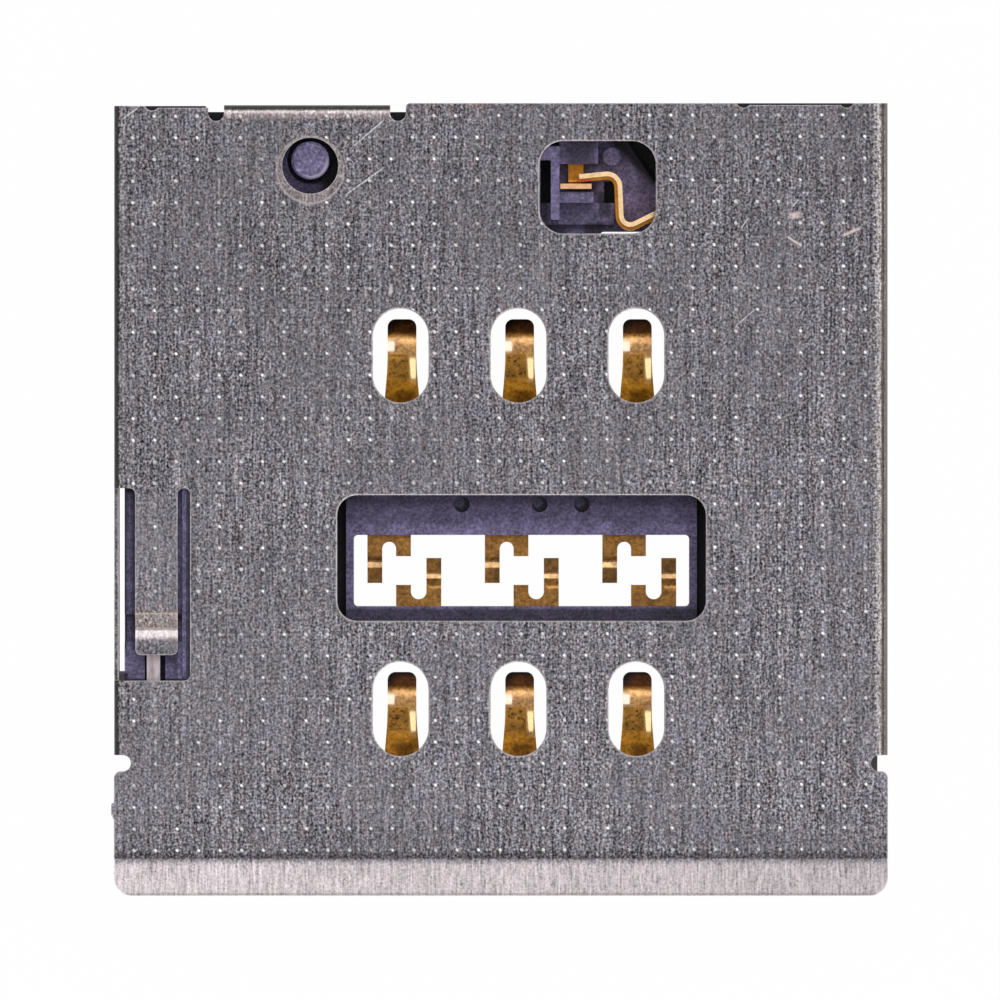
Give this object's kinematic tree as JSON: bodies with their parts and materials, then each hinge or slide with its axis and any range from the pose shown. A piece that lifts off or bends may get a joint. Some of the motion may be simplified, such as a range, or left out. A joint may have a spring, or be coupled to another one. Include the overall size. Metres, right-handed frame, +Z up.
{
  "type": "sim card reader",
  "caption": "Flat card reader for a circuit board: folded steel cover with oval slots over sprung gold contacts in a dark moulded housing, with a push-out tray ejector and a tray detect switch.",
  "frame": {"origin": "on the board under the middle of the cover", "axes": "+Z up from the board, +Y to the rear where the lever is, the tray goes in from -Y"},
  "size_m": [0.0167, 0.017, 0.0017],
  "materials": {
    "cover_steel": "fine brushed grain",
    "housing_plastic": "moulded, dark",
    "contact_gold": "gold plated",
    "switch_gold": "gold plated",
    "lever_plastic": "moulded, dark",
    "rod_steel": "satin"
  },
  "bodies": {
    "reader": {"steel_cover": "cover_steel", "housing": "housing_plastic", "rear_contact_left": "contact_gold", "rear_contact_middle": "contact_gold", "rear_contact_right": "contact_gold", "front_contact_left": "contact_gold", "front_contact_middle": "contact_gold", "front_contact_right": "contact_gold", "detect_spring": "switch_gold", "detect_terminal": "switch_gold"},
    "lever": {"eject_lever": "lever_plastic"},
    "rod": {"eject_rod": "rod_steel"}
  },
  "joints": [
    {"name": "rod_slide", "type": "slide", "parent": "reader", "child": "rod", "axis": [0, 1, 0], "range_m": [0, 0.00151]},
    {"name": "lever_swing", "type": "hinge", "parent": "reader", "child": "lever", "pos_m": [-0.00411, 0.00731, 0.0008], "axis": [0, 0, 1], "range_deg": [-25, 0]}
  ],
  "couplings": [
    {"joint": "lever_swing", "follows": "rod_slide", "rad_per_m": -287.4}
  ]
}
